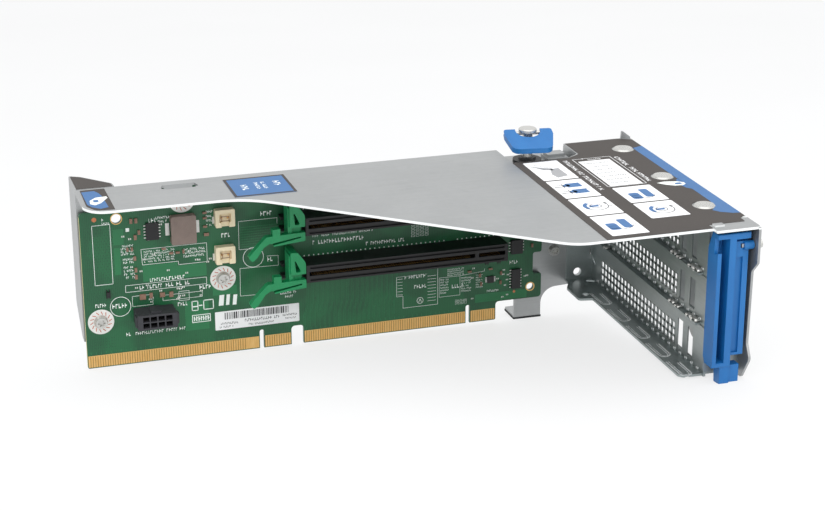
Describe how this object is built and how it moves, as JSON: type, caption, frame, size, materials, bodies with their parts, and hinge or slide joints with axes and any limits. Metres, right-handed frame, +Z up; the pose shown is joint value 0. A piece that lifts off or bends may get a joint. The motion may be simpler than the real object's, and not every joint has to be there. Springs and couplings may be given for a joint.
{
  "type": "riser card cage",
  "caption": "Folded steel cage holding a riser board with card slots, vented slot covers, a swing-down card retainer and a half-turn latch.",
  "frame": {"origin": "middle of the card edge at its lower edge, on the board's component face", "axes": "+X along the board towards the slot panel, -Y out of the component face, +Z up to the top plate"},
  "size_m": [0.2385, 0.1411, 0.0884],
  "materials": {
    "cage_steel": "satin zinc plate",
    "panel_steel": "satin zinc plate",
    "cover_steel": "satin zinc plate",
    "laminate": "solder-masked laminate",
    "gold_plate": "gold plate",
    "black_plastic": "moulded",
    "green_plastic": "moulded",
    "ferrite": "pressed powder",
    "ceramic": "ceramic",
    "cream_plastic": "moulded",
    "fastener": "zinc plate",
    "tin_plate": "tinned",
    "white_film": "printed film",
    "grey_film": "printed film",
    "blue_film": "printed film",
    "blue_plastic": "moulded",
    "black_rubber": "matt"
  },
  "bodies": {
    "cage": {"top_plate": "cage_steel", "board_carrier": "cage_steel", "slot_panel": "panel_steel", "slot_cover_lower": "cover_steel", "slot_cover_middle": "cover_steel", "slot_cover_upper": "cover_steel", "riser_board": "laminate", "edge_contacts": "gold_plate", "slot_housing_lower": "black_plastic", "slot_housing_upper": "black_plastic", "slot_contacts_lower": "gold_plate", "slot_contacts_upper": "gold_plate", "power_connector": "black_plastic", "power_pins": "gold_plate", "inductor": "ferrite", "regulator_chip": "black_plastic", "logic_chips": "black_plastic", "chip_parts": "ceramic", "cable_header_lower": "cream_plastic", "cable_header_upper": "cream_plastic", "header_pins": "gold_plate", "board_screws": "fastener", "screw_pads": "tin_plate", "standoffs": "fastener", "carrier_screw": "fastener", "carrier_nut": "fastener", "board_label": "white_film", "service_label": "grey_film", "push_label": "blue_film", "corner_label": "grey_film", "end_label": "grey_film", "top_rivets": "fastener", "side_rivets": "fastener", "retainer_pin": "fastener", "latch_ring": "black_plastic", "foot_pad": "black_rubber"},
    "retainer": {"card_retainer": "blue_plastic"},
    "stud": {"latch_stud": "fastener", "latch_spring": "fastener", "handle_pin": "fastener"},
    "handle": {"latch_handle": "blue_plastic"},
    "latch_lower": {"slot_latch_lower": "green_plastic"},
    "latch_upper": {"slot_latch_upper": "green_plastic"}
  },
  "joints": [
    {"name": "retainer_swing", "type": "hinge", "parent": "cage", "child": "retainer", "pos_m": [0.1404, -0.1172, 0.068], "axis": [-1, 0, 0], "range_deg": [0, 70]},
    {"name": "latch_turn", "type": "hinge", "parent": "cage", "child": "stud", "pos_m": [0.0987, -0.0055, 0.072], "axis": [0, 0, 1], "range_deg": [0, 180]},
    {"name": "handle_lift", "type": "hinge", "parent": "stud", "child": "handle", "pos_m": [0.0987, -0.0055, 0.0843], "axis": [-0.9848, 0.1736, 0], "range_deg": [0, 75]},
    {"name": "latch_lower_swing", "type": "hinge", "parent": "cage", "child": "latch_lower", "pos_m": [-0.0024, -0.0026, 0.0346], "axis": [0, 0, -1], "range_deg": [0, 12]},
    {"name": "latch_upper_swing", "type": "hinge", "parent": "cage", "child": "latch_upper", "pos_m": [-0.0024, -0.0026, 0.05492], "axis": [0, 0, -1], "range_deg": [0, 12]}
  ]
}
